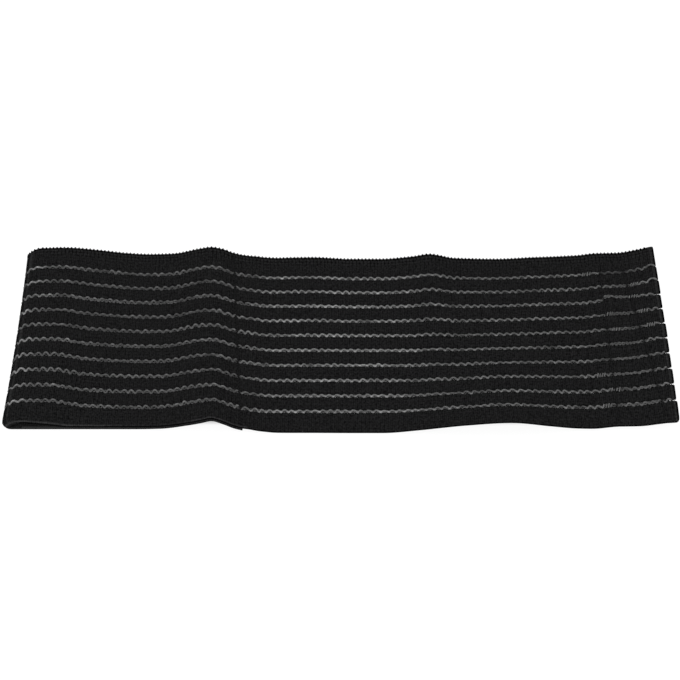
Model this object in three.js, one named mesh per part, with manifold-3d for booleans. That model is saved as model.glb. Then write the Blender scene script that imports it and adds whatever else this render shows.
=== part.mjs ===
// Wrist compression wrap, lying as it is laid out: one strip of black rib-knit elastic whose left end is folded back
// under and sewn to itself as a flat wrist loop, with a patch of hook tape sewn under the free end.
// Millimetres, +Z up. The wrap lies on the plane z = 0, with its length along X and the fold at -X. The front edge is
// at -Y. The origin is on that plane, under the middle of the wrap.

import * as THREE from "three";
import { mergeVertices } from "three/addons/utils/BufferGeometryUtils.js";
import Module from "manifold-3d";

// The strip
const bandWidth = 75;
const lyingLength = 238; // from the fold to the free end
const ribThickness = 1.2;
const webThickness = 0.4; // at the bottom of the openwork stripes between the ribs
const stripeCount = 10;
const stripePitch = 6.44;
const stripeWidth = 1.3;
const stripesToFront = 0.5; // the stripes are set this much nearer the front edge
const selvedgeRound = 0.45;
const cornerRound = 1; // at both corners of the free end

// The rib ends part at the free end, except at the stripes nearest the back edge
const notchDepth = 2.4;
const notchWidth = 0.9;
const notchHeight = 16;
const unnotchedStripes = 2;

// The wrist loop, measured from the fold
const underlapEnd = 86; // cut end of the lower layer
const foldDepth = 3.2; // the rounded part of the fold
const foldSteps = 8;
const foldSlump = 2.5; // the fold's nose is at half its height to this power, as a share of that height
const foldCornerInset = 0.4; // the fold's back corner is drawn in by this much
const foldCornerReach = 10; // and the back edge less and less as far as here
const restStart = 8; // the lower layer lies flat from here
const restEnd = 46; // to here
const seamAtFront = 83.9;
const seamAtBack = 78.2;
const seamWidth = 2;

// The hook patch, under the free end
const patchStart = 217.5;
const patchLength = 17.5;
const patchWidth = 69;
const patchThickness = 1.6;
const patchClearance = 0.3; // to the strip's underside

// How the wrap lies, a row for each section. along is the distance from the fold, floorFront and floorBack the height
// of the lowest layer's underside at the two edges, stackFront and stackBack how much higher the upper layer's
// underside is, sag how much lower the middle of the width lies than a straight line between the edges, and aside how
// far the section lies towards the back.
const columns = ["along", "floorFront", "floorBack", "stackFront", "stackBack", "sag", "aside"];
const loopSections = [
  [foldDepth, 0, 0, 5.35, 5.5, 0, 1.35],
  [13, 0, 0, 5.45, 5.8, 0, 1.35],
  [17, 0, 0, 5.35, 5.7, 0, 1.35],
  [21, 0, 0, 4.3, 5.2, 0.3, 1.35],
  [29, 0, 0, 2.4, 3.8, 0.4, 1.35],
  [37, 0, 0, 1.5, 2.3, 0.2, 1.35],
  [restEnd, 0, 0, 1.5, 1.5, 0, 1.35],
  [55, 0.3, 0.4, 1.5, 1.5, 0.3, 1.35],
  [66, 2.9, 3.7, 1.5, 1.5, 0.4, 1.35],
  [70, 4.3, 4.6, 1.5, 1.5, 0.7, 1.35],
  [74, 5.8, 3.5, 1.5, 1.5, 1, 1.35],
  [78, 3.8, 1.3, 1.5, 1.5, 0.9, 1.15],
  [82, 1.4, 0.3, 1.5, 1.5, 0.4, 0.75],
  [underlapEnd, 0.2, 0, 1.5, 1.5, 0.1, 0.45],
  [91, 0.1, 0.2, 0.7, 0.8, 0.2, 0.1],
];
const tailSections = [
  [97, 0.1, 0.8, 0, 0, 0.3, 0],
  [109, 0.1, 1.1, 0, 0, 0.4, 0],
  [123, 0, 0, 0, 0, 0, 0],
  [134, 0, 0, 0, 0, 0, 0],
  [147, 1.9, 1.7, 0, 0, 1.7, 0],
  [153, 3.2, 3.2, 0, 0, 2.3, 0],
  [163, 5.2, 0.6, 0, 0, 2.6, 0],
  [179, 7.1, 0, 0, 0, 2.4, 0],
  [193, 3.9, 0.4, 0, 0, 1.1, 0.5],
  [203, 1.3, 0.2, 0, 0, 0.2, 1.1],
  [209, 0.6, 0.3, 0, 0, 0, 1.4],
  [217, 1.9, 1.9, 0, 0, 0, 1.5],
  [225, 1.9, 1.9, 0, 0, 0, 1.6],
  [233.5, 3.6, 4.9, 0, 0, -1.2, 1.9],
  [lyingLength, 4.1, 5.4, 0, 0, -1.4, 2],
];
const sections = [...loopSections, ...tailSections];
const sagToFront = 0.6; // how much the deepest part of the sag lies towards the front edge
const layerGap = 0.15; // between the loop's layers, at least
const riseOfOneStep = 1.2; // a stretch between two sections has one step more for each such rise in it

const { lerp, clamp } = THREE.MathUtils;
const wasm = await Module();
wasm.setup();

// A column's value at a distance from the fold. It passes smoothly through the rows, is level at their highs and lows,
// and never goes past them.
function lie(column, along) {
  const k = columns.indexOf(column);
  const last = sections.length - 1;
  const place = clamp(along, sections[0][0], sections[last][0]);
  const found = sections.findIndex((row) => place < row[0]);
  const i = found < 0 ? last - 1 : found - 1;
  const span = (j) => sections[j + 1][0] - sections[j][0];
  const grade = (j) => (sections[j + 1][k] - sections[j][k]) / span(j);
  const slope = (j) => {
    if (j === 0 || j === last || grade(j - 1) * grade(j) <= 0) return 0;
    return (2 * grade(j - 1) * grade(j)) / (grade(j - 1) + grade(j));
  };
  const t = (place - sections[i][0]) / span(i);
  const rise = sections[i + 1][k] - sections[i][k];
  const bend = t * (1 - t) * span(i);
  return sections[i][k] + rise * t * t * (3 - 2 * t) + bend * ((1 - t) * slope(i) - t * slope(i + 1));
}

// Height of a layer's underside. across runs from 0 at the front edge to 1 at the back edge. A layer that sags stops at
// the floor, or at the layer below it.
function underside(layer, along, across) {
  const depth = 4 * across * (1 - across) * (1 + sagToFront * (1 - 2 * across));
  const sag = depth * lie("sag", along);
  const floor = lerp(lie("floorFront", along), lie("floorBack", along), across);
  const lowest = Math.max(floor - sag, 0);
  if (layer === "lower") return lowest;
  const stack = lerp(lie("stackFront", along), lie("stackBack", along), across);
  const support = along < underlapEnd ? lowest + ribThickness + layerGap : 0;
  return Math.max(floor + stack - sag, support);
}

function middleHeight(layer, along, across) {
  return underside(layer, along, across) + ribThickness / 2;
}

// Distances from the fold at which the strip has a section, from first to last
function stepsBetween(first, last) {
  const inside = sections.filter((row) => row[0] >= first && row[0] <= last);
  const steps = [];
  inside.slice(1).forEach((row, i) => {
    const start = inside[i];
    const rises = [1, 2].map((k) => Math.abs(row[k] + row[k + 2] - start[k] - start[k + 2]));
    const count = 1 + Math.floor(Math.max(...rises) / riseOfOneStep);
    for (let step = 0; step < count; step++) steps.push(lerp(start[0], row[0], step / count));
  });
  return [...steps, last];
}

// The strip's sections in the order of its length: from the cut end along the lower layer, round the fold and along
// the upper layer to the free end
function stripStations() {
  const lower = [restStart, ...stepsBetween(restEnd, underlapEnd)].reverse();
  const upper = stepsBetween(foldDepth, lyingLength).slice(1, -1);
  const corner = [lyingLength - cornerRound, lyingLength - cornerRound / 3, lyingLength];
  const turns = Array.from({ length: foldSteps + 1 }, (_, i) => (i / foldSteps - 0.5) * Math.PI);
  return [
    ...lower.map((along) => ({ layer: "lower", along })),
    ...turns.map((turn) => ({ layer: "fold", along: foldDepth, turn })),
    ...[...upper, ...corner].map((along) => ({ layer: "upper", along })),
  ];
}

// Point of the strip's middle surface, x and z
function middlePoint({ layer, along, turn }, across) {
  if (layer !== "fold") return new THREE.Vector2(along, middleHeight(layer, along, across));
  const low = middleHeight("lower", along, across);
  const high = middleHeight("upper", along, across);
  const reach = foldDepth - ribThickness / 2;
  const rise = ((1 + Math.sin(turn)) / 2) ** foldSlump;
  return new THREE.Vector2(foldDepth - reach * Math.cos(turn), lerp(low, high, rise));
}

const stripeCentres = Array.from({ length: stripeCount }, (_, i) => {
  return (i - (stripeCount - 1) / 2) * stripePitch - stripesToFront;
});

// Half thickness of the strip across its width, with the selvedges rounded and a groove at each stripe
function widthProfile() {
  const rib = ribThickness / 2;
  const edge = bandWidth / 2;
  const grooves = stripeCentres.flatMap((centre) => [
    { v: centre - stripeWidth / 2, half: rib },
    { v: centre, half: webThickness / 2 },
    { v: centre + stripeWidth / 2, half: rib },
  ]);
  return [
    { v: -edge, half: rib / 2 },
    { v: -edge + selvedgeRound, half: rib },
    ...grooves,
    { v: edge - selvedgeRound, half: rib },
    { v: edge, half: rib / 2 },
  ];
}

// How far the edge is drawn in by the round corners of the free end
function cornerInset(along) {
  const into = Math.max(0, along - (lyingLength - cornerRound));
  return cornerRound - Math.sqrt(cornerRound ** 2 - into ** 2);
}

function foldInset(along) {
  return foldCornerInset * Math.max(0, 1 - along / foldCornerReach) ** 2;
}

// A closed block with steps along and across, whose points are laid one by one
function laidBlock(alongSteps, acrossSteps, pointAt) {
  const block = new THREE.BoxGeometry(alongSteps, acrossSteps, 2, alongSteps, acrossSteps, 1);
  block.translate(alongSteps / 2, acrossSteps / 2, 0);
  block.deleteAttribute("normal");
  block.deleteAttribute("uv");
  const laid = mergeVertices(block);
  const points = laid.getAttribute("position");
  for (let n = 0; n < points.count; n++) {
    const point = pointAt(Math.round(points.getX(n)), Math.round(points.getY(n)), points.getZ(n));
    points.setXYZ(n, ...point);
  }
  return laid;
}

function stripGeometry() {
  const stations = stripStations();
  const profile = widthProfile();
  const last = stations.length - 1;
  return laidBlock(last, profile.length - 1, (i, j, side) => {
    const { v, half } = profile[j];
    const across = v / bandWidth + 0.5;
    const here = middlePoint(stations[i], across);
    const before = middlePoint(stations[Math.max(i - 1, 0)], across);
    const after = middlePoint(stations[Math.min(i + 1, last)], across);
    const heading = after.sub(before).normalize();
    const { layer, along } = stations[i];
    const atFrontEdge = j < 2;
    const atBackEdge = j > profile.length - 3;
    const endInset = layer === "upper" && (atFrontEdge || atBackEdge) ? Math.sign(v) * cornerInset(along) : 0;
    const inset = atBackEdge ? endInset + foldInset(here.x) : endInset;
    return [
      here.x - side * half * heading.y,
      v - inset + lie("aside", along),
      here.y + side * half * heading.x,
    ];
  });
}

// The sewn seam that joins the two layers and closes the loop
function seamGeometry() {
  const acrossSteps = stripeCount;
  return laidBlock(1, acrossSteps, (i, j, side) => {
    const across = j / acrossSteps;
    const along = lerp(seamAtFront, seamAtBack, across) + (i - 0.5) * seamWidth;
    const layer = side < 0 ? "lower" : "upper";
    const insideSelvedge = bandWidth - 2 * selvedgeRound;
    return [along, (across - 0.5) * insideSelvedge + lie("aside", along), middleHeight(layer, along, across)];
  });
}

function notchGeometry(stripeCentre) {
  const notch = new THREE.BoxGeometry(2 * notchDepth, notchWidth, notchHeight);
  notch.translate(lyingLength, stripeCentre + lie("aside", lyingLength), 0);
  return notch;
}

function toSolid(geometry) {
  const bare = geometry.clone();
  bare.deleteAttribute("normal");
  bare.deleteAttribute("uv");
  const merged = mergeVertices(bare);
  const vertProperties = merged.getAttribute("position").array;
  const triVerts = new Uint32Array(merged.index.array);
  return new wasm.Manifold(new wasm.Mesh({ numProp: 3, vertProperties, triVerts }));
}

function toGeometry(solid) {
  const { vertProperties, triVerts } = solid.getMesh();
  const geometry = new THREE.BufferGeometry();
  geometry.setAttribute("position", new THREE.BufferAttribute(vertProperties, 3));
  geometry.setIndex(new THREE.BufferAttribute(triVerts, 1));
  geometry.computeVertexNormals();
  return geometry;
}

function elasticBand() {
  const loop = toSolid(stripGeometry()).add(toSolid(seamGeometry()));
  const notched = stripeCentres.slice(0, stripeCount - unnotchedStripes);
  const band = notched.reduce((solid, centre) => solid.subtract(toSolid(notchGeometry(centre))), loop);
  const blackKnit = new THREE.MeshStandardMaterial({ color: 0x1a1a1b, roughness: 0.95, metalness: 0 });
  const mesh = new THREE.Mesh(toGeometry(band), blackKnit);
  mesh.name = "elastic_band";
  return mesh;
}

function hookPatch() {
  const patchEnd = patchStart + patchLength;
  const flatEnd = sections.find((row) => row[0] > patchStart)[0];
  const curlSteps = 4;
  const curl = Array.from({ length: curlSteps + 1 }, (_, i) => lerp(flatEnd, patchEnd, i / curlSteps));
  const stations = [patchStart, ...curl];
  const acrossSteps = 4;
  const geometry = laidBlock(stations.length - 1, acrossSteps, (i, j, side) => {
    const v = (j / acrossSteps - 0.5) * patchWidth;
    const along = stations[i];
    const top = underside("upper", along, v / bandWidth + 0.5) - patchClearance;
    return [along, v + lie("aside", along), side > 0 ? top : top - patchThickness];
  });
  geometry.computeVertexNormals();
  const hookTape = new THREE.MeshStandardMaterial({ color: 0x141415, roughness: 0.8, metalness: 0 });
  const mesh = new THREE.Mesh(geometry, hookTape);
  mesh.name = "hook_patch";
  return mesh;
}

const wrap = new THREE.Group();
wrap.add(elasticBand(), hookPatch());
const extent = new THREE.Box3().setFromObject(wrap);
const middle = extent.getCenter(new THREE.Vector3());
wrap.position.set(-middle.x, -middle.y, -extent.min.z);

export default wrap;
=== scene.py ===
import math

import bmesh
import bpy
import numpy as np
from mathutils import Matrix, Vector


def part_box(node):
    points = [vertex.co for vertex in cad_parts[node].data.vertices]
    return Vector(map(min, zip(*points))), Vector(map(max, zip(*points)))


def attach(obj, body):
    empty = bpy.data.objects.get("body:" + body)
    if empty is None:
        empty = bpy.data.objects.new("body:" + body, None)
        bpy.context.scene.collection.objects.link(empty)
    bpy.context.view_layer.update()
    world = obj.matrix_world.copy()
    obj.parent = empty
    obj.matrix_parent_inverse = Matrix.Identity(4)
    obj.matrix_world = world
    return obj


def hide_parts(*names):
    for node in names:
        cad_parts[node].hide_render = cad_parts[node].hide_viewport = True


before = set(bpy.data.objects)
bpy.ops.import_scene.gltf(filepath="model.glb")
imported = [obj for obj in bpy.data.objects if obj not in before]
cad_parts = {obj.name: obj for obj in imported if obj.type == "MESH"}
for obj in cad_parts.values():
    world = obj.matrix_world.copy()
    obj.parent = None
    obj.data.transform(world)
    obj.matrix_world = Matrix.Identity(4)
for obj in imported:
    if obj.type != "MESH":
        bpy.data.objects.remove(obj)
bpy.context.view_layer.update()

# A wrist compression wrap of black rib-knit elastic, lying flat. The left third is a sewn two-layer wrist
# loop, the rest is the tail, and a patch of hook tape is sewn under the free end.
# Sizes are in millimetres. Pieces are shaped on the flat strip first, by their run from its cut end, their
# place across it and their lift off its middle surface, and are then laid where the strip lies. Stripes and
# ribs are counted from the front. Turns round the fold are in degrees, with none at the nose.
MM = 0.001
draw = np.random.default_rng(11)

# The strip
band_width = 75.0
lying_length = 238.0  # from the fold to the free end
rib_thickness = 1.2
stripe_count = 10
stripe_pitch = 6.44
stripes_to_front = 0.6  # the stripes are set this much nearer the front edge
unnotched_stripes = 2  # those nearest the back edge
underlap_end = 86.0  # cut end of the loop's lower layer, from the fold
layer_gap = 0.15  # between the loop's layers, at least
half_width = band_width / 2
rib_half = rib_thickness / 2
stripe_centres = (np.arange(stripe_count) - (stripe_count - 1) / 2) * stripe_pitch - stripes_to_front

# The fold
fold_depth = 6.1  # longer than its solid's, as the upper layer slopes down to the nose
fold_slump = 3.0  # the nose is at one half to this power of the fold's height
fold_squeeze = 0.4  # how much thinner the strip is inside the nose
squeeze_turn = -10.0  # where it is thinnest
squeeze_spread = 35.0
nose_out = 0.35  # the nose stands out of its solid this far
nose_out_at_edges = 0.95
nose_corner = 1.5  # the nose falls back this far at the front edge
nose_corner_width = 2.2
nose_corner_most = 1.2  # on the rim that is drawn out beyond the band's width

# How the wrap lies: heights of the lowest layer's underside at the two edges, how much higher the upper layer
# is, how much lower the middle lies than a straight line between the edges, and how far the section lies
# towards the back
section_columns = ["along", "floor_front", "floor_back", "stack_front", "stack_back", "sag", "aside"]
sections = np.array([
    [fold_depth, 0, 0, 5.35, 5.5, 0, 1.35],
    [13, 0, 0, 5.45, 5.8, 0, 1.35],
    [17, 0, 0, 5.35, 5.7, 0, 1.35],
    [21, 0, 0, 4.3, 5.2, 0.3, 1.35],
    [29, 0, 0, 2.4, 3.8, 0.4, 1.35],
    [37, 0, 0, 1.5, 2.3, 0.2, 1.35],
    [46, 0, 0, 1.5, 1.5, 0, 1.35],
    [55, 0.3, 0.4, 1.5, 1.5, 0.3, 1.35],
    [66, 2.9, 3.7, 1.5, 1.5, 0.4, 1.35],
    [70, 4.3, 4.6, 1.5, 1.5, 0.7, 1.35],
    [74, 5.8, 3.5, 1.5, 1.5, 1, 1.35],
    [78, 3.8, 1.3, 1.5, 1.5, 0.9, 1.15],
    [82, 1.4, 0.3, 1.5, 1.5, 0.4, 0.75],
    [underlap_end, 0.2, 0, 1.5, 1.5, 0.1, 0.45],
    [91, 0.1, 0.2, 0.7, 0.8, 0.2, 0.1],
    [97, 0.1, 0.8, 0, 0, 0.3, 0],
    [109, 0.1, 1.1, 0, 0, 0.4, 0],
    [123, 0, 0, 0, 0, 0, 0],
    [134, 0, 0, 0, 0, 0, 0],
    [147, 1.9, 1.7, 0, 0, 1.7, 0],
    [153, 3.2, 3.2, 0, 0, 2.3, 0],
    [163, 5.2, 0.6, 0, 0, 2.6, 0],
    [179, 7.1, 0, 0, 0, 2.4, 0],
    [193, 3.9, 0.4, 0, 0, 1.1, 0.5],
    [203, 1.3, 0.2, 0, 0, 0.2, 1.1],
    [209, 0.6, 0.3, 0, 0, 0, 1.4],
    [217, 1.9, 1.6, 0, 0, 0, 1.5],
    [225, 2.1, 1.8, 0, 0, -0.5, 1.6],
    [233.5, 3.6, 3.8, 0, 0, -1.1, 1.9],
    [lying_length, 4.0, 5.4, 0, 0, -1.2, 2],
])
sag_to_front = 0.6  # how much the deepest part of the sag lies towards the front edge

# At the loop's mouth the upper layer's front edge droops
droop_columns = ["along", "droop"]
droop_rows = np.array([
    [fold_depth, 0.9],
    [9, 1.0],
    [13, 1.75],
    [18, 2.6],
    [22, 2.5],
    [29, 0.9],
    [37, 0],
])
droop_width = 8.0  # from the front edge
droop_power = 1.5
droop_most = 1.1  # on the rim that is drawn out beyond the band's width

# On the upper layer the knit is pulled a little towards the front here and there
pull_columns = ["along", "to_front"]
pull_rows = np.array([
    [16, 0],
    [26, 0.35],
    [33, 0.2],
    [46, 0.55],
    [53, 0.5],
    [67, 0],
    [76, 0.25],
    [89, 0.35],
    [97, 0],
])

# The hook patch and the sewing
patch_start = 217.5
patch_length = 17.5
patch_width = 69.0
patch_clearance = 0.3
seam_at_front = 83.9
seam_at_back = 78.2
inner_row_inset = 0.1  # from the patch's start
outer_row_at_front = 234.2
outer_row_at_back = 225.4
outer_row_fade = 1.5  # the end of the strip begins within this length past that row
seam_press = 0.45  # how far beside its stitches the knit is pressed down
inner_row_press = 0.4
outer_row_press = 0.9
jogs = {6: 0.6, 7: 2.3}  # stripes that are sewn out of line at the patch, and how far
jog_lead = 1.0  # they leave their line this far before the patch
jog_length = 2.5
thread_radius = 0.19
stitch_root = 0.75  # where stitches dive in, as a share of half the strip's thickness
stitch_arch = 0.2
seam_width = 0.9
seam_pitch = 0.62
seam_inset = 1.1
stitch_length = 2.5
stitch_gap = 0.3
row_inset = 0.8
tape_thickness = 0.6
tape_rim = 0.6  # how thick the tape's rim is, as a share
tape_rib = 0.12
hook_radius = 0.12
hook_height = 0.65
hook_pitch = 1.6
hook_inset = 1.4
hook_root = 0.1  # the hooks start this deep in the tape
hook_bend = np.array([[0, 0], [0, 0.45], [0.05, 0.8], [0.28, 1.0], [0.5, 0.85], [0.52, 0.6]])

# The knit
course = 1.365  # one row of loops along the strip
wale = 1.05  # one column of loops across it
channel_width = 1.15  # open between two ribs
channel_end = 4.5  # the channels narrow from this far before the free end
channel_end_length = 2.0
notched_closing = 0.4
unnotched_closing = 0.6
rib_steps = 7
edge_rib_steps = 10
rib_crowding = 0.9  # how much closer a rib's steps are at its flanks
flank_rounding = 0.55
flank_power = 10
knit_relief = 0.06
scallop = 0.1  # of the rib flanks, where the courses turn
pressed_thinner = 0.25
end_thinner = 0.35
rims_of_loop = (0.3, 0.05)  # the front and back edges are drawn out this far
rims_of_tail = (0.5, 0.24)
tail_rim_length = 14.0  # from the lower layer's cut end to where the tail's rims begin
cut_slant = 1.5  # the lower layer is cut this much shorter at the front
front_rib_longer = 0.6
rib_longer = 0.3
rib_end_spread = 0.1  # by chance
end_corners = (1.4, 0.4)  # how far the corners at the front and back are rounded
notch_length = 1.6  # between the rib ends at the free end
notch_half = 0.42
edge_loop_radius = 0.22
edge_loop_half = 0.16
edge_loop_depth = 0.85
edge_loop_tip = 0.2  # the loops stand out of the back edge this far
edge_loop_lift = 0.6
under_loop_lift = 0.3  # on the lower layer
edge_loop_inset = 2.0  # from the free end

# Painted light and shade on the ribs, as how much paler or darker than plain knit they are: painted
# highlights in lines before their ends and on the fold's shoulder, painted shade on the nose and the cut
# ends, and painted light and shade on the two edges of the strip
painted_highlight = 0.22
end_line = (1.5, 0.9)  # from where to where before a rib's end
shoulder_line = (45.0, 53.0)
painted_nose_shade = -0.12
nose_turns = (-60.0, 33.0)
painted_cut_shade = -0.5
cut_depth = 0.5
back_edge_painted_light = (0.3, 0.6)  # painted light beside the back edge and on it
upper_flank_painted_shade = -0.3  # painted shade on the front edge's flank, on the upper layer
lower_flank_painted_light = 0.1  # and painted light on that flank, on the lower one

# How much the front edges of the loop's upper and lower layer catch the light
rim_columns = ["along", "upper", "lower"]
rim_rows = np.array([
    [30, 0.45, 1.0],
    [44, 0.15, 0.4],
    [60, 0.15, 0.35],
    [68, 0.35, 0.35],
])
inside_share = 0.25  # how much of that the face inside the loop catches
upper_rim_turn = 15.0  # from where on the fold
inside_turn = 45.0  # up to where on the fold

# The zigzag yarns in the openwork stripes, one on the face and one behind it
zigzag_length = 2 * course
zigzag_reach = 0.45
loop_swing = 1.22  # how much wider the zigzag is in the loop
tail_swing = 0.92  # and in the tail, which is stretched a little
tail_knit_start = 96.0
zigzag_tops = 0.25  # how much longer its tops are than its dips
zigzag_lean = 0.3  # how much quicker it climbs than it falls
wander_spread = 0.05  # of its middle, by chance
swing_spread = 0.28
late_spread = 0.45  # of its waves, in radians
face_yarn_radius = 0.37
face_yarn_lift = 0.36
under_yarn_lift = 0.2  # on the lower layer, where the yarn is pressed in by the floor
back_yarn_radius = 0.24
back_yarn_reach = 0.42
back_yarn_lift = 0.05
back_yarn_to_back = 0.1
patch_yarn_lift = 0.32
patch_yarn_reach = 0.42
patch_yarn_fade = 1.5
yarn_press = 0.8  # how far stitches press the yarn in
yarn_end_inset = 1.5  # from the free end
unnotched_end_inset = 0.2
arch_start = 3.4  # before the free end, where the yarns of the unnotched stripes turn in an arch
arch_length = 3.2
arch_reach = 0.75
arch_lift = 0.5
arch_lift_most = 0.6  # of the arch's reach
crossing_yarn_radius = 0.13
crossing_end_inset = 0.4
crossing_slant = 0.22
crossing_overlap = 0.25
crossing_lift = -0.22
crossing_weave = 0.08

# How pale the zigzag's tops and dips are, and the yarn behind it. Besides the yarn's own grey this holds
# painted
# light: they are palest where the strip lies on the white floor, as if the floor shone through the openwork,
# and darker where the loop's lower layer, the raised tail or the patch lies behind.
yarn_and_painted_light_columns = ["along", "tops", "dips", "back"]
yarn_and_painted_light_rows = np.array([
    [fold_depth, 0.36, 0.30, 0.04],
    [10, 0.19, 0.13, 0.15],
    [60, 0.175, 0.12, 0.15],
    [84, 0.20, 0.16, 0.14],
    [96, 0.26, 0.46, 0.20],
    [142, 0.26, 0.46, 0.20],
    [152, 0.16, 0.26, 0.09],
    [214, 0.16, 0.23, 0.08],
    [218, 0.14, 0.14, 0.14],
    [lying_length, 0.16, 0.16, 0.10],
])
pale_spread = 0.27
crossing_paleness = 0.55  # between the tops and dips
painted_shade_turn = 24.0  # where on the fold the painted shade on the yarns is deepest
painted_shade_turn_spread = 15.0
dark_at_stitches = 0.7
dark_at_bunches = 0.7
bunch_reach = 1.8
dark_last_stripe = 0.55  # how dim the stripe nearest the back is over the patch
last_dim_end = 234.0
last_dim_fade = 2.0
pale_end = 0.35  # beyond the patch's outer row
back_stripes = {4: 1.1, 7: 1.1}  # stripes whose yarn behind shows most
back_strengths = (0.4, 0.9)
back_over_patch = 0.8
last_back_over_patch = 0.3

# Places where the yarns bunch into a few slanted strokes, mostly at the sewing: stripe, and distance from the
# fold
bunches = [
    [9, 212.6],
    [8, 229.8],
    [7, 228.8],
    [6, 231.5],
    [6, 218.9],
    [5, 233.3],
    [5, 220.8],
    [2, 213.6],
    [1, 218.0],
    [0, 214.4],
]
strokes = 4
stroke_radius = 0.18
stroke_pitch = 0.85
stroke_pitch_spread = 0.1
stroke_slant = 0.22
stroke_reach = 0.75
stroke_reach_spread = 0.15
stroke_lift = 0.42
stroke_arch = 0.15
stroke_paleness = 0.25
stroke_unevenness = (0.7, 1.2)

cord_sides = 5
hook_sides = 4

# Where the strip lies in the frame: the fold touches the solid's left side, and the tail its front
band_low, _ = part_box("elastic_band")
strip_x = band_low.x / MM
strip_y = band_low.y / MM + half_width

# Runs along the strip: the lower layer from its cut end, round the fold, and the upper layer to the free end
lower_run = underlap_end - fold_depth
fold_reach = fold_depth - rib_half
fold_run = math.pi * fold_reach
upper_start = lower_run + fold_run
strip_run = upper_start + lying_length - fold_depth
zigzag_count = int(strip_run / zigzag_length)


# How the strip lies

def lie(column, along):
    """A section's value at distances from the fold, smooth through the rows, level at highs and lows."""
    place = sections[:, 0]
    value = sections[:, section_columns.index(column)]
    span = np.diff(place)
    grade = np.diff(value) / span
    onward = grade[:-1] * grade[1:] > 0
    slope = np.zeros(len(place))
    slope[1:-1][onward] = 2 / (1 / grade[:-1][onward] + 1 / grade[1:][onward])
    at = np.clip(along, place[0], place[-1])
    i = np.clip(np.searchsorted(place, at, side="right") - 1, 0, len(span) - 1)
    t = (at - place[i]) / span[i]
    rise = value[i + 1] - value[i]
    bend = t * (1 - t) * span[i]
    return value[i] + rise * t * t * (3 - 2 * t) + bend * ((1 - t) * slope[i] - t * slope[i + 1])


def read_rows(rows, columns, column, along):
    """A table's value at distances from the fold, straight between its rows."""
    return np.interp(along, rows[:, 0], rows[:, columns.index(column)])


def along_of(run):
    """Distance from the fold at a run along the strip."""
    on_lower = underlap_end - run
    on_upper = fold_depth + run - upper_start
    return np.maximum(np.maximum(on_lower, on_upper), fold_depth)


def run_on_upper(along):
    return along - fold_depth + upper_start


def fold_turn(run):
    """Turn round the fold in radians: back a right angle on the lower layer, forward one on the upper."""
    return (np.clip((run - lower_run) / fold_run, 0, 1) - 0.5) * math.pi


def front_to_back(at_front, at_back, across):
    """A value that changes evenly from the front edge to the back."""
    share = across / band_width + 0.5
    return at_front * (1 - share) + at_back * share


def near_front(across, width, most):
    """From 0 at a distance from the front edge to 1 at the edge, and a little more on a rim beyond it."""
    return np.clip(1 - (across + half_width) / width, 0, most)


def middle_surface(run, across):
    """x from the fold and height of the strip's middle surface. A sagging layer stops at what is under it."""
    along = along_of(run)
    share = across / band_width + 0.5
    sag = 4 * share * (1 - share) * (1 + sag_to_front * (1 - 2 * share)) * lie("sag", along)
    floor_line = front_to_back(lie("floor_front", along), lie("floor_back", along), across)
    stack = front_to_back(lie("stack_front", along), lie("stack_back", along), across)
    droop = read_rows(droop_rows, droop_columns, "droop", along)
    stack = stack - droop * near_front(across, droop_width, droop_most) ** droop_power
    low = np.maximum(floor_line - sag, 0)
    support = np.where(along < underlap_end, low + rib_thickness + layer_gap, 0)
    high = np.maximum(floor_line + stack - sag, support)
    turn = fold_turn(run)
    rise = ((1 + np.sin(turn)) / 2) ** fold_slump
    out = nose_out + (nose_out_at_edges - nose_out) * (across / half_width) ** 2
    out -= nose_corner * near_front(across, nose_corner_width, nose_corner_most) ** 2
    return along - (fold_reach + out) * np.cos(turn), rib_half + low + (high - low) * rise


def lay(run, across, lift):
    """Points of the flat strip where it lies, in metres."""
    nearby = 0.05
    x, z = middle_surface(run, across)
    x_before, z_before = middle_surface(np.maximum(run - nearby, 0), across)
    x_after, z_after = middle_surface(np.minimum(run + nearby, np.maximum(run, strip_run)), across)
    ahead = np.hypot(x_after - x_before, z_after - z_before)
    lean = (z_after - z_before) / ahead
    level = (x_after - x_before) / ahead
    y = strip_y + across + lie("aside", along_of(run))
    return np.stack([strip_x + x - lift * lean, y, z + lift * level], axis=-1) * MM


def stripe_line(k, run):
    """Place across of a stripe's middle."""
    along = along_of(run)
    into_patch = np.clip((along - patch_start + jog_lead) / jog_length, 0, 1)
    past_patch = np.clip((along - patch_start) / (lying_length - patch_start), 0, 1)
    on_upper = run > upper_start
    pull = read_rows(pull_rows, pull_columns, "to_front", along)
    return stripe_centres[k] + (jogs.get(k, 0) * into_patch * (1 - past_patch) - pull) * on_upper


def notched(k):
    """Whether a stripe ends in a notch at the free end."""
    return k < stripe_count - unnotched_stripes


# Rows of stitches, each as its distance from the fold across the strip

def seam_row(across):
    return front_to_back(seam_at_front, seam_at_back, across)


def inner_patch_row(across):
    return np.full_like(across, patch_start + inner_row_inset)


def outer_patch_row(across):
    return front_to_back(outer_row_at_front, outer_row_at_back, across)


def past_patch_rows(along, across):
    """From 0 to 1, whether a place is beyond the rows of stitches at the free end."""
    return np.clip((along - outer_patch_row(across)) / outer_row_fade, 0, 1)


def pressed(along, across):
    """From 0 to 1, how far a row of stitches presses the knit down."""
    rows = [seam_row(across), inner_patch_row(across), outer_patch_row(across)]
    reaches = [seam_press, inner_row_press, outer_row_press]
    total = sum(np.exp(-((along - row) / reach) ** 2) for row, reach in zip(rows, reaches))
    return np.minimum(total, 1)


# Making pieces

def to_and_fro(n):
    """1 for even numbers and -1 for odd ones."""
    return 1 - 2 * (n % 2)


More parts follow.
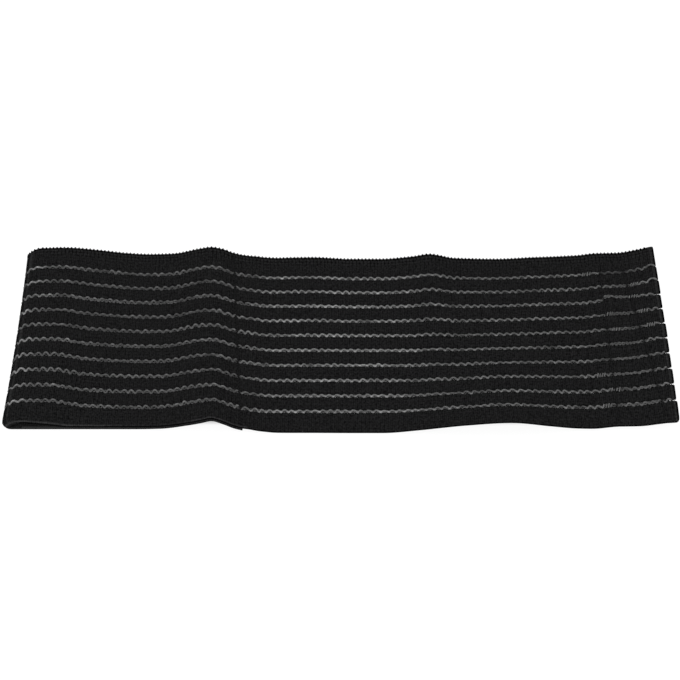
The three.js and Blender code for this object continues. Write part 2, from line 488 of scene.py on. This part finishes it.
def slab(steps_along, steps_across):
    """A closed block in steps: its faces, and each vertex's step along, step across and side."""
    bm = bmesh.new()
    bmesh.ops.create_cube(bm, size=1.0)
    for axis, steps in ((0, steps_along), (1, steps_across)):
        edges = [e for e in bm.edges if e.verts[0].co[axis] * e.verts[1].co[axis] < 0]
        bmesh.ops.subdivide_edges(bm, edges=edges, cuts=steps - 1, use_grid_fill=True)
    points = np.array([v.co for v in bm.verts])
    faces = [[v.index for v in f.verts] for f in bm.faces]
    bm.free()
    along = np.rint((points[:, 0] + 0.5) * steps_along).astype(int)
    across = np.rint((points[:, 1] + 0.5) * steps_across).astype(int)
    return faces, along, across, np.sign(points[:, 2])


def round_cord(sides, steps):
    """A capped straight cord in steps: its faces, and each vertex's step along and turn round it."""
    bm = bmesh.new()
    bmesh.ops.create_cone(bm, cap_ends=True, segments=sides, radius1=1.0, radius2=1.0, depth=1.0)
    lengthwise = [e for e in bm.edges if e.verts[0].co.z * e.verts[1].co.z < 0]
    bmesh.ops.subdivide_edges(bm, edges=lengthwise, cuts=steps - 1, use_grid_fill=True)
    points = np.array([v.co for v in bm.verts])
    faces = [[v.index for v in f.verts] for f in bm.faces]
    bm.free()
    step = np.rint((points[:, 2] + 0.5) * steps).astype(int)
    return faces, step, np.arctan2(points[:, 1], points[:, 0])


def make_piece(name, points, faces, finish, strip_map=None, marks=None):
    mesh = bpy.data.meshes.new(name)
    mesh.from_pydata(points, [], faces)
    for mark, values in (marks or {}).items():
        mesh.attributes.new(mark, "FLOAT", "POINT").data.foreach_set("value", values)
    if strip_map is not None:
        corners = np.empty(len(mesh.loops), dtype=int)
        mesh.loops.foreach_get("vertex_index", corners)
        mesh.uv_layers.new(name="strip").data.foreach_set("uv", strip_map[corners].ravel())
    mesh.shade_smooth()
    mesh.materials.append(finish)
    piece = bpy.data.objects.new(name, mesh)
    bpy.context.scene.collection.objects.link(piece)
    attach(piece, "root")
    return piece


def joined_cords(paths, radius, sides=cord_sides, upright=(0, 0, 1)):
    """Round cords along paths of the flat strip, all with as many points, joined: laid points and faces."""
    count, stops = paths.shape[:2]
    form, step, turn = round_cord(sides, stops - 1)
    ahead = np.gradient(paths, axis=1)
    ahead /= np.linalg.norm(ahead, axis=2, keepdims=True)
    beside = np.cross(np.array(upright, float), ahead)
    beside /= np.linalg.norm(beside, axis=2, keepdims=True)
    above = np.cross(ahead, beside)
    around = np.cos(turn)[:, None] * beside[:, step] + np.sin(turn)[:, None] * above[:, step]
    flat = (paths[:, step] + radius * around).reshape(-1, 3)
    faces = [[v + k * len(step) for v in face] for k in range(count) for face in form]
    return lay(flat[:, 0], flat[:, 1], flat[:, 2]), faces


def joined(parts):
    """Points and faces of several parts as one."""
    faces = []
    start = 0
    for points, part_faces in parts:
        faces += [[v + start for v in face] for face in part_faces]
        start += len(points)
    return np.concatenate([points for points, _ in parts]), faces


# Finishes

def new_finish(name, colour, roughness, specular):
    finish = bpy.data.materials.new(name)
    finish.use_nodes = True
    shader = finish.node_tree.nodes["Principled BSDF"]
    shader.inputs["Base Color"].default_value = (*colour, 1)
    shader.inputs["Roughness"].default_value = roughness
    shader.inputs["Specular IOR Level"].default_value = specular
    return finish, finish.node_tree, shader


def feed(tree, socket, value):
    """Links a socket to another, or sets it to a plain value."""
    if isinstance(value, bpy.types.NodeSocket):
        tree.links.new(value, socket)
    else:
        socket.default_value = value


def add_node(tree, kind, settings=(), **inputs):
    node = tree.nodes.new(kind)
    for key, value in dict(settings).items():
        setattr(node, key, value)
    for key, value in inputs.items():
        feed(tree, node.inputs[key.replace("_", " ")], value)
    return node


def joined_math(tree, operation, *values, kind="ShaderNodeMath"):
    node = add_node(tree, kind, {"operation": operation})
    for socket, value in zip(node.inputs, values):
        feed(tree, socket, value)
    return node.outputs[0]


def object_place(tree):
    return add_node(tree, "ShaderNodeTexCoord").outputs["Object"]


def mark_of(tree, mark):
    return add_node(tree, "ShaderNodeAttribute", {"attribute_name": mark}).outputs["Fac"]


def mottled(tree, where, scale):
    noise = add_node(tree, "ShaderNodeTexNoise", Vector=where, Scale=scale, Detail=3.0, Roughness=0.65)
    return noise.outputs["Fac"]


def about_none(tree, pattern, depth):
    """A pattern from 0 to 1 as a change of tone to both sides."""
    return joined_math(tree, "MULTIPLY", joined_math(tree, "SUBTRACT", pattern, 0.5), depth)


def shaded(tree, shader, shade, dark, light):
    """Base colour between two shades of the same yarn."""
    ramp = add_node(tree, "ShaderNodeValToRGB", Fac=shade)
    ramp.color_ramp.elements[0].position = 0.3
    ramp.color_ramp.elements[0].color = (*dark, 1)
    ramp.color_ramp.elements[1].position = 0.7
    ramp.color_ramp.elements[1].color = (*light, 1)
    tree.links.new(ramp.outputs["Color"], shader.inputs["Base Color"])
    return ramp.color_ramp


def bumped(tree, shader, height, strength, distance):
    bump = add_node(tree, "ShaderNodeBump", Height=height, Strength=strength, Distance=distance)
    tree.links.new(bump.outputs["Normal"], shader.inputs["Normal"])


def black_knit():
    """Matte black knit: fine courses across the ribs, wales along them, diamonds near the back edge, fuzz,
    and the painted light and shade that the ribs carry as a mark.
    """
    finish, tree, shader = new_finish("black_knit", (0.006, 0.006, 0.0062), roughness=0.95, specular=0.0)
    place = object_place(tree)
    strip = add_node(tree, "ShaderNodeUVMap", {"uv_map": "strip"}).outputs["UV"]
    fine_course = course / 2 * MM
    one_band = math.pi / 10  # the scale at which a wave texture has one band in one unit
    knit = add_node(tree, "ShaderNodeMapping", Vector=strip, Scale=(1 / fine_course, 1 / (wale * MM), 1))
    knit = knit.outputs["Vector"]
    courses = add_node(tree, "ShaderNodeTexWave", {"bands_direction": "X"}, Vector=knit, Scale=one_band,
                       Distortion=1.2, Detail=2.0, Detail_Scale=2.0).outputs["Fac"]
    wales = add_node(tree, "ShaderNodeTexWave", {"bands_direction": "Y"}, Vector=knit, Scale=one_band,
                     Distortion=0.8, Detail=2.0, Detail_Scale=2.0).outputs["Fac"]
    fuzz = mottled(tree, place, scale=2600)

    diamond = course / math.sqrt(2) * MM
    turned = add_node(tree, "ShaderNodeMapping", Vector=strip, Rotation=(0, 0, math.pi / 4),
                      Scale=(1 / diamond, 1 / diamond, 1)).outputs["Vector"]
    diamonds = add_node(tree, "ShaderNodeTexChecker", Vector=turned, Scale=1.0).outputs["Fac"]
    across = add_node(tree, "ShaderNodeSeparateXYZ", Vector=strip).outputs["Y"]
    diamonds_start = (half_width - 4) * MM
    diamonds_full = (half_width - 2) * MM
    near_back = add_node(tree, "ShaderNodeMapRange", Value=across, From_Min=diamonds_start,
                         From_Max=diamonds_full, To_Min=0.04, To_Max=0.22).outputs["Result"]
    weave = about_none(tree, diamonds, near_back)

    grain_depth = 0.12
    grain = about_none(tree, courses, grain_depth)
    shade = joined_math(tree, "ADD", mottled(tree, place, scale=1500), grain)
    shade = joined_math(tree, "ADD", shade, weave)
    # painted light and shade of the ribs, from their mark
    shade = joined_math(tree, "ADD", shade, mark_of(tree, "painted_light_and_shade"))
    ramp = shaded(tree, shader, shade, dark=(0.0022, 0.0022, 0.0023), light=(0.0165, 0.0165, 0.0167))
    # a pale shade that only the painted highlights of the ribs' mark reach
    ramp.elements.new(1.0).color = (0.04, 0.04, 0.04, 1)

    wale_share = 0.5
    relief = joined_math(tree, "ADD", joined_math(tree, "MULTIPLY", wales, wale_share), courses)
    bumped(tree, shader, joined_math(tree, "ADD", relief, fuzz), strength=0.6, distance=0.12 * MM)
    return finish


def spun_yarn(name, dark, light, roughness, specular):
    """Yarn whose fibres lie unevenly."""
    finish, tree, shader = new_finish(name, light, roughness, specular)
    place = object_place(tree)
    shaded(tree, shader, mottled(tree, place, scale=900), dark, light)
    bumped(tree, shader, mottled(tree, place, scale=5200), strength=0.5, distance=0.08 * MM)
    return finish


def stripe_yarn():
    """Thin grey yarn, as pale as its mark says: the yarn's own uneven grey with painted light and shade in
    it.
    """
    finish, tree, shader = new_finish("stripe_yarn", (0.2, 0.2, 0.2), roughness=0.7, specular=0.15)
    fibres = mottled(tree, object_place(tree), scale=1100)
    uneven = add_node(tree, "ShaderNodeMapRange", Value=fibres, From_Min=0.3, From_Max=0.7, To_Min=0.6,
                      To_Max=1.4).outputs["Result"]
    paleness_and_painted_light = joined_math(tree, "MULTIPLY", mark_of(tree, "paleness_and_painted_light"), uneven)
    ramp = add_node(tree, "ShaderNodeValToRGB", Fac=paleness_and_painted_light)
    ramp.color_ramp.elements[0].color = (0.01, 0.01, 0.01, 1)
    ramp.color_ramp.elements[1].color = (0.5, 0.5, 0.5, 1)
    tree.links.new(ramp.outputs["Color"], shader.inputs["Base Color"])
    return finish


def hook_nylon():
    """Dull black nylon tape with a fine ground weave."""
    finish, tree, shader = new_finish("hook_nylon", (0.007, 0.007, 0.0075), roughness=0.6, specular=0.2)
    place = object_place(tree)
    shaded(tree, shader, mottled(tree, place, scale=700), dark=(0.005, 0.005, 0.0055),
           light=(0.011, 0.011, 0.0115))
    weave = add_node(tree, "ShaderNodeTexVoronoi", Vector=place, Scale=2200)
    bumped(tree, shader, weave.outputs["Distance"], strength=0.5, distance=0.1 * MM)
    return finish


# The band

def half_channel(k, run):
    """Half the gap at a stripe. It narrows at the free end, and closes there at stripes without a notch."""
    to_end = np.clip((run - strip_run + channel_end) / channel_end_length, 0, 1)
    return channel_width / 2 - (notched_closing if notched(k) else unnotched_closing) * to_end


def drawn_out(edge, run):
    """How far an edge of the strip is drawn out: 0 is the front edge, 1 the back."""
    into_tail = np.clip((along_of(run) - underlap_end) / tail_rim_length, 0, 1)
    return rims_of_loop[edge] * (1 - into_tail) + rims_of_tail[edge] * into_tail


def rib_sides(k, run):
    """Lowest and highest place across of a rib at each run."""
    low = -half_width - drawn_out(0, run)
    high = half_width + drawn_out(1, run)
    if k > 0:
        low = stripe_line(k - 1, run) + half_channel(k - 1, run)
    if k < stripe_count:
        high = stripe_line(k, run) - half_channel(k, run)
    return low, high


def rib_stops(rib_start, rib_end):
    """Runs at which a rib has a section, two for each course and closer at the free end."""
    end_steps = np.array([1.6, 1.3, 1.0, 0.7, 0.45, 0.25, 0.1, 0.0])
    half_courses = int((rib_end - end_steps[0] - rib_start) / (course / 2))
    plain = np.linspace(rib_start, rib_end - end_steps[0], half_courses, endpoint=False)
    return np.concatenate([plain, rib_end - end_steps])


def rib_painted_light(k, rib_end, steps, run, j, side):
    """Painted light and shade on a rib: how much paler or darker than plain knit it is at each run, step
    across and side.
    """
    along = along_of(run)
    turn = np.degrees(fold_turn(run))
    on_upper = run > upper_start
    before_end = (run > rib_end - end_line[0]) & (run < rib_end - end_line[1])
    on_shoulder = (turn > shoulder_line[0]) & (turn < shoulder_line[1])
    # painted highlights before the rib's end and on the fold's shoulder
    painted_light_and_shade = painted_highlight * (before_end | on_shoulder)
    # painted shade on the fold's nose
    painted_light_and_shade[(turn > nose_turns[0]) & (turn < nose_turns[1])] = painted_nose_shade
    # painted shade on the cut end
    painted_light_and_shade[run > rib_end - cut_depth] = painted_cut_shade
    # painted light and shade on the front edge's rims and flanks, and painted light on the face inside the
    # loop
    if k == 0:
        upper_rim = read_rows(rim_rows, rim_columns, "upper", along)
        lower_rim = read_rows(rim_rows, rim_columns, "lower", along)
        lower_rim *= np.where((j == 1) & (run < lower_run), 1, inside_share)
        painted_light_and_shade = np.where((j == 1) & (along < underlap_end) & (turn > upper_rim_turn), upper_rim, painted_light_and_shade)
        painted_light_and_shade = np.where(j == 0, np.where(on_upper, upper_flank_painted_shade, lower_flank_painted_light), painted_light_and_shade)
        painted_light_and_shade = np.where((j > 0) & (side < 0) & (turn < inside_turn), lower_rim, painted_light_and_shade)
    # painted light beside and on the back edge
    if k == stripe_count:
        painted_light_and_shade[(j == steps - 1) & on_upper] = back_edge_painted_light[0]
        painted_light_and_shade[(j == steps) & on_upper] = back_edge_painted_light[1]
    return painted_light_and_shade


def knit_rib(k, rib_start, rib_end):
    """One rib of the band: laid points, faces, its map on the flat strip and the light and shade painted on
    it.
    """
    front_edge = k == 0
    back_edge = k == stripe_count
    steps = edge_rib_steps if front_edge or back_edge else rib_steps
    stops = rib_stops(rib_start, rib_end)
    faces, i, j, side = slab(len(stops) - 1, steps)
    run = stops[i]
    share = (2 * j / steps - 1) * rib_crowding
    place = np.sin(share * math.pi / 2) / math.sin(rib_crowding * math.pi / 2)
    at_flank = (j == 0) | (j == steps)
    low, high = rib_sides(k, run)
    across = (low + high) / 2 + place * (high - low) / 2

    at_selvedge = (front_edge & (place < 0)) | (back_edge & (place > 0))
    corner_length = np.where(at_selvedge, end_corners[int(back_edge)], notch_length)
    corner_inset = np.where(at_selvedge, end_corners[int(back_edge)], notch_half)
    into_end = np.clip((run - rib_end) / corner_length + 1, 0, 1)
    drawn_in = corner_inset * (1 - np.sqrt(1 - into_end ** 2)) * np.abs(place)
    scalloped = at_flank & ~at_selvedge
    across += np.sign(place) * (scalloped * scallop * to_and_fro(i) - drawn_in)

    thick = rib_half * (1 - flank_rounding * np.abs(place) ** flank_power)
    thick *= 1 - pressed_thinner * pressed(along_of(run), across)
    thick *= 1 - end_thinner * into_end ** 3
    knit = (1 + to_and_fro(i) * to_and_fro(j)) / 2
    lift = side * (thick - knit_relief * knit * ~at_flank)
    turn = np.degrees(fold_turn(run))
    lift *= 1 - fold_squeeze * (side < 0) * np.exp(-((turn - squeeze_turn) / squeeze_spread) ** 2)
    strip_map = np.stack([run, across], axis=-1) * MM
    return lay(run, across, lift), faces, strip_map, rib_painted_light(k, rib_end, steps, run, j, side)


def knit_ribs(finish):
    ribs = []
    for k in range(stripe_count + 1):
        rib_start = cut_slant * (1 - k / stripe_count)
        longer = front_rib_longer if k == 0 else rib_longer
        rib_end = strip_run + longer + draw.uniform(-rib_end_spread, rib_end_spread)
        ribs.append(knit_rib(k, rib_start, rib_end))
    points, faces = joined([(laid, form) for laid, form, _, _ in ribs])
    strip_map = np.concatenate([flat for _, _, flat, _ in ribs])
    # the painted light and shade of all ribs, kept as a mark on their points
    painted_light_and_shade = np.concatenate([mark for _, _, _, mark in ribs])
    return make_piece("knit_ribs", points, faces, finish, strip_map, {"painted_light_and_shade": painted_light_and_shade})


def uneven_along(run, middle, spread):
    """A value that changes by chance from one wave of the zigzag to the next."""
    knots = np.linspace(0, strip_run, zigzag_count)
    return np.interp(run, knots, draw.normal(middle, spread, zigzag_count))


def zigzag_paths(lift, reach, to_back, phases):
    """Paths of the zigzag yarns of all stripes, and how far they are bent back or forth at each point."""
    steps_each = 12
    stops = zigzag_count * steps_each + 1
    paths = []
    bends = []
    for k, phase in enumerate(phases):
        end_inset = yarn_end_inset if notched(k) else unnotched_end_inset
        run = np.linspace(cut_slant, strip_run - end_inset, stops)
        along = along_of(run)
        wander = uneven_along(run, 0, wander_spread)
        swing = uneven_along(run, 1, swing_spread)
        late = uneven_along(run, 0, late_spread)
        wave = 2 * math.pi * run / zigzag_length + phase + late
        wave += zigzag_tops * np.cos(wave) + zigzag_lean * np.sin(wave)
        bend = np.sin(wave)
        middle = stripe_line(k, run)
        on_patch = np.clip((along - patch_start) / patch_yarn_fade, 0, 1)
        on_patch *= 1 - past_patch_rows(along, middle)
        lift_here = np.interp(run, (lower_run, upper_start), (min(lift, under_yarn_lift), lift))
        lift_here += (patch_yarn_lift - lift) * on_patch
        reach_here = reach * np.interp(along, (underlap_end, tail_knit_start), (loop_swing, tail_swing))
        reach_here += (patch_yarn_reach - reach_here) * on_patch
        arch = np.clip((run - strip_run + arch_start) / arch_length, 0, 1) * (not notched(k))
        rise = arch_reach * np.sin(math.pi * arch)
        across = middle + to_back * (1 - on_patch) + wander + reach_here * swing * bend * (arch == 0) + rise
        height = lift_here * (1 - yarn_press * pressed(along, across))
        height += arch_lift * np.clip(rise, 0, arch_lift_most)
        paths.append(np.stack([run, across, height], axis=-1))
        bends.append(bend)
    return np.array(paths), np.array(bends)


def yarn_tones(paths):
    """How uneven the yarns' paleness is. They carry painted shade at the fold's nose, and are darker at rows
    of stitches.
    """
    run, across = paths[..., 0], paths[..., 1]
    uneven = np.array([uneven_along(one, 1, pale_spread) for one in run])
    along = along_of(run)
    for k, place in bunches:
        uneven[k] *= 1 - dark_at_bunches * np.exp(-((along[k] - place) / bunch_reach) ** 2)
    last = along[-1]
    last_over_patch = (last > patch_start) * np.clip((last_dim_end - last) / last_dim_fade, 0, 1)
    uneven[-1] *= 1 - dark_last_stripe * last_over_patch
    # painted shade on the yarns at the fold's nose
    painted_yarn_nose_shade = np.exp(-((np.degrees(fold_turn(run)) - painted_shade_turn) / painted_shade_turn_spread) ** 2)
    at_stitches = 1 - dark_at_stitches * pressed(along, across)
    return uneven * (1 - painted_yarn_nose_shade) * at_stitches * (1 + pale_end * past_patch_rows(along, across))


def yarn_and_painted_light(column, along):
    return read_rows(yarn_and_painted_light_rows, yarn_and_painted_light_columns, column, along)


def face_yarns_on(finish, phases):
    paths, bends = zigzag_paths(face_yarn_lift, zigzag_reach, 0, phases)
    along = along_of(paths[..., 0])
    tops, dips = yarn_and_painted_light("tops", along), yarn_and_painted_light("dips", along)
    tones = tops + (dips - tops) * (1 - bends) / 2
    tones *= crossing_paleness + (1 - crossing_paleness) * np.abs(bends)
    tones *= yarn_tones(paths)
    return stripe_yarns("face_yarns", paths, tones, face_yarn_radius, finish)


def back_yarns_on(finish, phases):
    paths, _ = zigzag_paths(back_yarn_lift, back_yarn_reach, back_yarn_to_back, phases + math.pi)
    along = along_of(paths[..., 0])
    strengths = np.array([back_stripes.get(k, draw.uniform(*back_strengths)) for k in range(stripe_count)])
    over_patch = np.full(stripe_count, back_over_patch)
    over_patch[-1] = last_back_over_patch
    strengths = np.where(along < patch_start, strengths[:, None], over_patch[:, None])
    tones = yarn_and_painted_light("back", along) * strengths * yarn_tones(paths)
    return stripe_yarns("back_yarns", paths, tones, back_yarn_radius, finish)


def stripe_yarns(name, paths, tones, radius, finish):
    points, faces = joined_cords(paths, radius)
    _, step, _ = round_cord(cord_sides, paths.shape[1] - 1)
    marks = {"paleness_and_painted_light": tones[:, step].ravel()}
    return make_piece(name, points, faces, finish, marks=marks)


def bunched_yarns(finish):
    """Short slanted strokes of yarn where the stripes are bunched."""
    steps = 4
    share = np.linspace(-1, 1, steps + 1)
    paths = []
    tones = []
    for k, along in bunches:
        for n in range(strokes):
            aside = (n - (strokes - 1) / 2) * stroke_pitch + draw.normal(0, stroke_pitch_spread)
            run = run_on_upper(along + aside) + stroke_slant * share
            across = stripe_line(k, run) + stroke_reach * draw.normal(1, stroke_reach_spread) * share
            height = stroke_lift + stroke_arch * np.cos(share * math.pi / 2)
            paths.append(np.stack([run, across, height], axis=-1))
            tones.append(np.full(steps + 1, stroke_paleness * draw.uniform(*stroke_unevenness)))
    return stripe_yarns("bunched_yarns", np.array(paths), np.array(tones), stroke_radius, finish)


def crossing_yarns(finish):
    """Fine black yarns that cross each stripe at every course and hold the ribs together."""
    steps = 4
    share = np.linspace(-1, 1, steps + 1)
    paths = []
    for k in range(stripe_count):
        last = strip_run - (yarn_end_inset if notched(k) else crossing_end_inset)
        for n, run in enumerate(np.arange(course / 2, last, course)):
            across = stripe_line(k, np.array([run])) + share * (channel_width / 2 + crossing_overlap)
            height = crossing_lift + crossing_weave * to_and_fro(n) * np.cos(share * math.pi / 2)
            paths.append(np.stack([run + crossing_slant * to_and_fro(n) * share, across, height], axis=-1))
    points, faces = joined_cords(np.array(paths), crossing_yarn_radius)
    return make_piece("crossing_yarns", points, faces, finish)


def selvedge_loops(finish):
    """Loops of black yarn that turn at the back edge of the strip, one for each course."""
    steps = 6
    turn = np.linspace(-1, 1, steps + 1) * math.pi / 2
    paths = []
    for run in np.arange(cut_slant + course, strip_run - edge_loop_inset, course):
        tip = half_width + drawn_out(1, run) + edge_loop_tip - edge_loop_radius
        across = tip - edge_loop_depth * (1 - np.cos(turn))
        lift = np.interp(run, (lower_run, upper_start), (under_loop_lift, edge_loop_lift))
        runs = run + edge_loop_half * np.sin(turn)
        paths.append(np.stack([runs, across, np.full_like(turn, lift)], axis=-1))
    points, faces = joined_cords(np.array(paths), edge_loop_radius)
    return make_piece("selvedge_loops", points, faces, finish)


# The sewing

def stitch_paths(starts, ends):
    """Short stitches from start to end points on the strip's outer face, each diving in at its ends."""
    steps = 6
    share = np.linspace(0, 1, steps + 1)
    height = rib_half * stitch_root + stitch_arch * np.sqrt(np.clip(np.sin(share * math.pi), 0, 1))
    flat = starts[:, None, :] + share[None, :, None] * (ends - starts)[:, None, :]
    lift = np.broadcast_to(height, flat.shape[:2])[..., None]
    return np.concatenate([flat, lift], axis=2)


def loop_seam(finish):
    """A close zigzag of thread through both layers of the loop."""
    across = np.arange(-half_width + seam_inset, half_width - seam_inset, seam_pitch)
    along = seam_row(across) + to_and_fro(np.arange(len(across))) * seam_width / 2
    upper = np.stack([run_on_upper(along), across], axis=-1)
    lower = np.stack([underlap_end - along, across], axis=-1)
    parts = [joined_cords(stitch_paths(flat[:-1], flat[1:]), thread_radius) for flat in (upper, lower)]
    points, faces = joined(parts)
    return make_piece("loop_seam", points, faces, finish)


def patch_stitches(finish):
    """Rows of plain stitches that hold the hook patch."""
    parts = []
    edge = patch_width / 2 - row_inset
    starts = np.arange(-edge, edge - stitch_length, stitch_length)
    ends = starts + stitch_length - stitch_gap
    for row in (inner_patch_row, outer_patch_row):
        first = np.stack([run_on_upper(row(starts)), starts], axis=-1)
        last = np.stack([run_on_upper(row(ends)), ends], axis=-1)
        parts.append(joined_cords(stitch_paths(first, last), thread_radius))
    points, faces = joined(parts)
    return make_piece("patch_stitches", points, faces, finish)


# The hook patch

def hook_tape(finish):
    """The patch's tape, with thin rims and a fine rib along it."""
    steps_along = 24
    steps_across = 92
    faces, i, j, side = slab(steps_along, steps_across)
    run = run_on_upper(patch_start) + patch_length * i / steps_along
    across = (j / steps_across - 0.5) * patch_width
    at_rim = (i == 0) | (i == steps_along) | (j == 0) | (j == steps_across)
    middle = -rib_half - patch_clearance - tape_thickness / 2
    thick = tape_thickness / 2 * np.where(at_rim, tape_rim, 1 - tape_rib * (i % 2))
    points = lay(run, across, middle + side * thick)
    return make_piece("hook_tape", points, faces, finish)


def tape_hooks(finish):
    """Rows of small bent hooks under the tape."""
    runs = np.arange(hook_inset, patch_length - hook_inset, hook_pitch) + run_on_upper(patch_start)
    places = np.arange(-patch_width / 2 + hook_inset, patch_width / 2 - hook_inset, hook_pitch)
    lift = -rib_half - patch_clearance - tape_thickness + hook_root - hook_height * hook_bend[:, 1]
    paths = []
    for n, run in enumerate(runs):
        for place in places:
            across = place + to_and_fro(n) * hook_bend[:, 0]
            paths.append(np.stack([np.full_like(lift, run), across, lift], axis=-1))
    points, faces = joined_cords(np.array(paths), hook_radius, hook_sides, upright=(1, 0, 0))
    return make_piece("tape_hooks", points, faces, finish)


# The scene around it

def white_floor():
    """White paper that glows softly, as on a light table: painted light that washes out the shadows round the
    wrap. Under the wrap the glow is cut off, as painted shade.
    """
    floor_half = 4.0
    floor_drop = 0.03 * MM  # just clear of the wrap
    bm = bmesh.new()
    bmesh.ops.create_grid(bm, x_segments=1, y_segments=1, size=floor_half)
    bmesh.ops.translate(bm, verts=bm.verts, vec=(0, 0, -floor_drop))
    mesh = bpy.data.meshes.new("white_floor")
    bm.to_mesh(mesh)
    bm.free()

    paper_tone = 0.9
    glow_strength = 0.92
    glow_dimming = 0.77  # the paper itself is this much darker where it glows
    # the rectangle under the wrap where the glow is cut off, as painted shade, with a soft edge
    painted_shade_half = Vector((112, 33, 1)) * MM
    painted_shade_middle = Vector((0, 0.5, 0)) * MM
    soft_edge = 3 * MM
    finish, tree, shader = new_finish("white_paper", (paper_tone,) * 3, roughness=1.0, specular=0.0)
    vectors = "ShaderNodeVectorMath"
    off_middle = joined_math(tree, "SUBTRACT", object_place(tree), painted_shade_middle, kind=vectors)
    distance = joined_math(tree, "ABSOLUTE", off_middle, kind=vectors)
    beyond = joined_math(tree, "SUBTRACT", distance, painted_shade_half, kind=vectors)
    sides = add_node(tree, "ShaderNodeSeparateXYZ", Vector=beyond)
    furthest = joined_math(tree, "MAXIMUM", sides.outputs["X"], sides.outputs["Y"])
    glow = add_node(tree, "ShaderNodeMapRange", Value=furthest, From_Max=soft_edge).outputs["Result"]
    feed(tree, shader.inputs["Emission Strength"], joined_math(tree, "MULTIPLY", glow, glow_strength))
    shader.inputs["Emission Color"].default_value = (1, 1, 1, 1)
    dimming = joined_math(tree, "MULTIPLY", glow, glow_dimming)
    feed(tree, shader.inputs["Base Color"], joined_math(tree, "SUBTRACT", paper_tone, dimming))

    mesh.materials.append(finish)
    floor = bpy.data.objects.new("white_floor", mesh)
    bpy.context.scene.collection.objects.link(floor)
    return floor


def soft_light():
    world = bpy.data.worlds.new("white_studio")
    world.use_nodes = True
    sky = world.node_tree.nodes["Background"]
    sky.inputs["Color"].default_value = (1, 1, 1, 1)
    sky.inputs["Strength"].default_value = 1.0
    bpy.context.scene.world = world
    lamp = bpy.data.lights.new("overhead_softbox", "AREA")
    lamp.shape = "RECTANGLE"
    lamp.size = 1.4
    lamp.size_y = 1.0
    lamp.energy = 6.0
    softbox = bpy.data.objects.new("overhead_softbox", lamp)
    softbox.location = (-0.25, 0.35, 1.3)
    softbox.rotation_euler = (Vector((0, 0, 0)) - softbox.location).to_track_quat("-Z", "Y").to_euler()
    bpy.context.scene.collection.objects.link(softbox)


def photo_camera():
    """Camera that sees the wrap as it was photographed, from the front and well above."""
    elevation = math.radians(57.2)
    distance = 496.3 * MM
    aim = Vector((0, 0.39 * MM, 0))
    image_width = 680
    focal_pixels = 1342.4
    sensor_width = 36.0
    lens = bpy.data.cameras.new("photo_camera")
    lens.sensor_width = sensor_width
    lens.lens = sensor_width * focal_pixels / image_width
    lens.clip_start = 0.01
    camera = bpy.data.objects.new("photo_camera", lens)
    camera.location = aim + distance * Vector((0, -math.cos(elevation), math.sin(elevation)))
    camera.rotation_euler = (math.pi / 2 - elevation, 0, 0)
    bpy.context.scene.collection.objects.link(camera)
    bpy.context.scene.camera = camera


photo_camera()
soft_light()
floor = white_floor()
bpy.context.scene.view_settings.view_transform = "Standard"

knit_finish = black_knit()
stripe_finish = stripe_yarn()
edge_finish = spun_yarn("edge_yarn", (0.0003, 0.0003, 0.0003), (0.001, 0.001, 0.001), 1.0, 0.0)
thread_finish = spun_yarn("black_thread", (0.0085, 0.0085, 0.0087), (0.015, 0.015, 0.0153), 0.9, 0.02)
hook_finish = hook_nylon()

ribs = knit_ribs(knit_finish)
yarn_phases = draw.uniform(0, 2 * math.pi, stripe_count)
face_yarns = face_yarns_on(stripe_finish, yarn_phases)
back_yarns = back_yarns_on(stripe_finish, yarn_phases)
bunched = bunched_yarns(stripe_finish)
crossings = crossing_yarns(knit_finish)
edge_loops = selvedge_loops(edge_finish)
seam = loop_seam(thread_finish)
patch_rows = patch_stitches(thread_finish)
tape = hook_tape(hook_finish)
hooks = tape_hooks(hook_finish)

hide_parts("elastic_band")
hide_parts("hook_patch")
